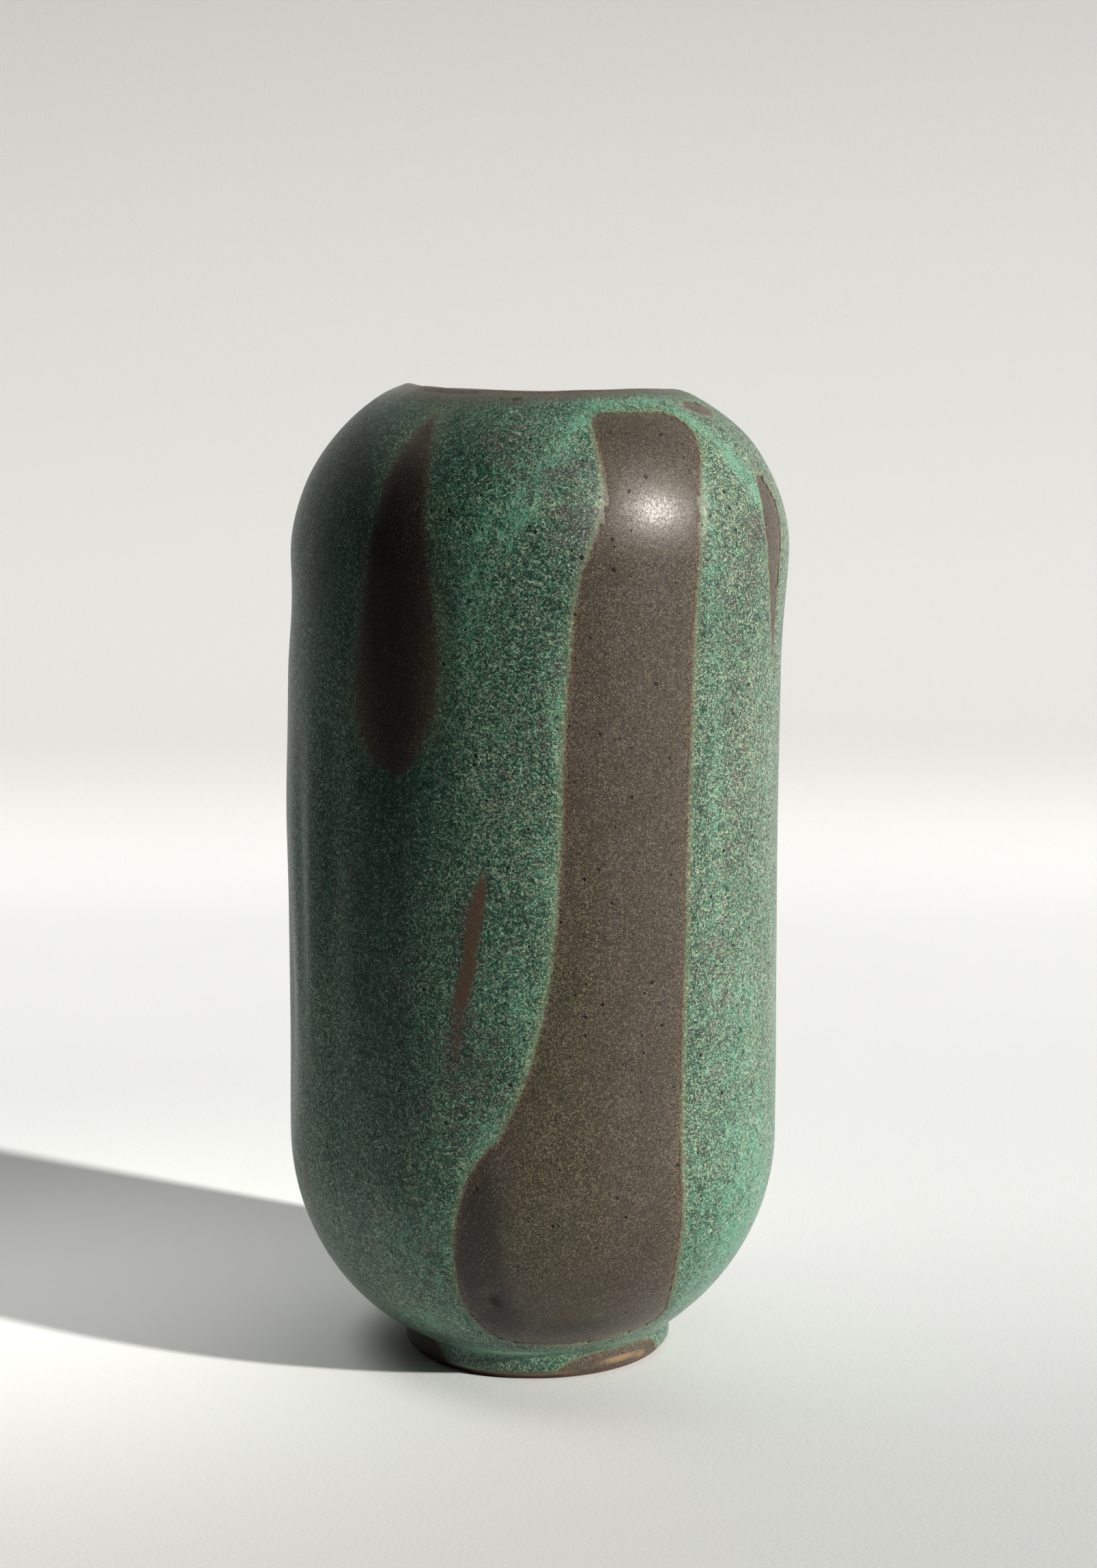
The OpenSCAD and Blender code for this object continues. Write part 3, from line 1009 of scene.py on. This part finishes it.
def clay_body():
    """The thrown shell: base, wall, rounded lip, inner face and floor."""
    radius = BOWL_ARC - CLAY_IN
    drop = BOWL_TOP - RECESS_H
    base_r = BOWL_X + math.sqrt(radius ** 2 - drop ** 2)
    start = math.degrees(math.asin(-drop / radius))
    lip_angle = 90 - math.degrees(LIP_TILT)
    points, _ = joined(
        straight((0, RECESS_H), (base_r, RECESS_H), (0, -1), 2 * STEP),
        arc(BOWL_X, BOWL_TOP, radius, start, 0, 2 * STEP),
        straight((CLAY_R, BOWL_TOP), (CLAY_R, SHOULDER_Z), (1, 0), 2 * STEP),
        arc(SHOULDER_X, SHOULDER_Z, SHOULDER_ARC - CLAY_IN, 0, lip_angle, 2 * STEP),
        arc(LIP_X, LIP_Z, LIP_R, lip_angle, lip_angle + 180, STEP),
        inner_line(),
    )
    finish = bare_clay("fired_clay", colour(0.30, 0.20, 0.13), colour(0.20, 0.13, 0.085))
    places, faces, _ = thrown(points, finish)
    made = piece("clay_body", hand_shaped(places), faces, finish)
    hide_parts("body")
    return made


def clay_foot():
    """The foot ring, worn smooth where it stands."""
    foot_in = FOOT_R - FOOT_W
    radius = BOWL_ARC - CLAY_IN
    low = math.degrees(math.asin((RECESS_H - BOWL_TOP) / radius))
    high = -math.degrees(math.acos((FOOT_R - BOWL_X) / radius))
    foot_top = BOWL_TOP + radius * math.sin(math.radians(high))
    base_r = BOWL_X + radius * math.cos(math.radians(low))
    points, _ = joined(
        arc(FOOT_R - FOOT_EDGE, FOOT_EDGE, FOOT_EDGE, -90, 0, 0.3),
        straight((FOOT_R, FOOT_EDGE), (FOOT_R, foot_top), (1, 0), 1.0),
        arc(BOWL_X, BOWL_TOP, radius, high, low, 1.0),
        straight((base_r, RECESS_H), (foot_in, RECESS_H), (0, 1), 1.0),
        straight((foot_in, RECESS_H), (foot_in, FOOT_EDGE), (-1, 0), 1.0),
        arc(foot_in + FOOT_EDGE, FOOT_EDGE, FOOT_EDGE, 180, 270, 0.3),
    )
    finish = bare_clay("foot_clay", colour(0.13, 0.075, 0.045), colour(0.07, 0.042, 0.028))
    places, faces, _ = thrown(points, finish, closed=True)
    made = piece("clay_foot_ring", hand_shaped(places), faces, finish)
    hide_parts("foot_ring")
    return made


# ------------------------------------------------------------------ camera, light and stage

FOCAL = 63.3
CAMERA_X, CAMERA_Y, CAMERA_Z = 2.9, -675.0, 238.0
CAMERA_DOWN = 8.14


def camera():
    data = bpy.data.cameras.new("camera")
    data.lens = FOCAL
    data.sensor_width = 36.0
    data.clip_start, data.clip_end = 0.01, 50.0
    made = bpy.data.objects.new("camera", data)
    made.location = (CAMERA_X * MM, CAMERA_Y * MM, CAMERA_Z * MM)
    made.rotation_euler = (math.radians(90 - CAMERA_DOWN), 0.0, 0.0)
    bpy.context.scene.collection.objects.link(made)
    bpy.context.scene.camera = made


def light():
    sun = bpy.data.lights.new("key", "SUN")
    sun.energy = 5.0
    sun.angle = math.radians(2.4)
    sun.color = (1.0, 0.965, 0.915)
    made = bpy.data.objects.new("key", sun)
    toward = Vector((0.775, -0.465, 0.432))
    made.rotation_euler = toward.to_track_quat("Z", "Y").to_euler()
    bpy.context.scene.collection.objects.link(made)
    bpy.context.scene.view_settings.view_transform = "Standard"
    bpy.context.scene.view_settings.gamma = 0.84


def fill_light():
    """A soft light over the shadow's side, which only opens up the floor."""
    data = bpy.data.lights.new("fill", "AREA")
    data.energy = 0.078
    data.shape = "DISK"
    data.size = 0.20
    data.spread = math.radians(50)
    data.color = (1.0, 0.975, 0.90)
    made = bpy.data.objects.new("fill", data)
    made.location = (-0.25, 0.0, 0.42)
    toward = Vector((-0.12, 0.0, 0.42))
    made.rotation_euler = toward.to_track_quat("Z", "Y").to_euler()
    bpy.context.scene.collection.objects.link(made)


def room():
    """A soft room light, bright from above and the right, dim from the front left."""
    world = bpy.data.worlds.new("room")
    world.use_nodes = True
    graph = Graph(world.node_tree)
    toward = graph.node("ShaderNodeTexCoord", output="Generated")
    side = graph.vector("DOT_PRODUCT", toward, (0.66, 0.38, 0.65), output="Value")
    tint = graph.mix(side.ramp(-0.10, 0.90), colour(0.002, 0.002, 0.003), colour(0.42, 0.42, 0.41))
    graph.tree.links.new(tint.socket, world.node_tree.nodes["Background"].inputs["Color"])
    bpy.context.scene.world = world


def paper():
    """Pale paper with painted shade: darker towards the front and up the backdrop, and dark grey in front and
    to the left, which also keeps bounced and reflected light off the vase's shaded side.
    """
    material, graph, shader = new_material("pale_paper")
    at = graph.node("ShaderNodeTexCoord", output="Object")
    place = graph.node("ShaderNodeSeparateXYZ", {}, {"Vector": at})
    across, depth = place, Value(graph, place.socket.node.outputs[1])
    # Painted shade: the paper turns dark grey in front and to the left.
    front = depth.ramp(-0.15, -0.40)
    left = (across + depth * 0.2).ramp(-0.16, -0.42) * (0.25 + depth.ramp(0.80, 0.40) * 0.75)
    tooth = graph.noise(at, 900.0, 3.0, 0.6)
    cloud = graph.noise(at, 6.0, 2.0).ramp(0.3, 0.7)
    pale = graph.mix(cloud, colour(0.850, 0.868, 0.882), colour(0.865, 0.883, 0.897))
    height = Value(graph, place.socket.node.outputs[2])
    # Painted shade: darker towards the front and up the backdrop.
    pale = graph.mix(depth.ramp(0.14, -0.14) * 0.9, pale, colour(0.66, 0.672, 0.68))
    pale = graph.mix(height.ramp(0.0, 0.06), pale, colour(0.655, 0.668, 0.672))
    pale = graph.mix(height.ramp(0.02, 0.25), pale, colour(0.62, 0.633, 0.637))
    base = graph.mix(front.most(left), pale, colour(0.13, 0.13, 0.13))
    feed(graph, shader, Base_Color=base, Roughness=0.9, Normal=bump(graph, tooth, 0.05))
    return material


def stage():
    """A pale floor that sweeps up into a backdrop."""
    sweep, radius, half = 0.55, 0.5, 3.0
    line = [(-2.5, 0.0), (sweep, 0.0)]
    steps = 24
    for i in range(1, steps + 1):
        turn = math.pi / 2 * i / steps
        line.append((sweep + radius * math.sin(turn), radius * (1 - math.cos(turn))))
    line.append((sweep + radius, 3.0))
    places = [(x, y, z) for y, z in line for x in (-half, half)]
    faces = [(2 * i, 2 * i + 1, 2 * i + 3, 2 * i + 2) for i in range(len(line) - 1)]
    mesh = bpy.data.meshes.new("floor")
    mesh.from_pydata(places, [], faces)
    mesh.polygons.foreach_set("use_smooth", [True] * len(mesh.polygons))
    mesh.materials.append(paper())
    floor = bpy.data.objects.new("floor", mesh)
    bpy.context.scene.collection.objects.link(floor)


camera()
light()
fill_light()
room()
stage()
outer_skin = Skin()
green_coat(outer_skin)
iron_coat(outer_skin)
liner()
clay_body()
clay_foot()
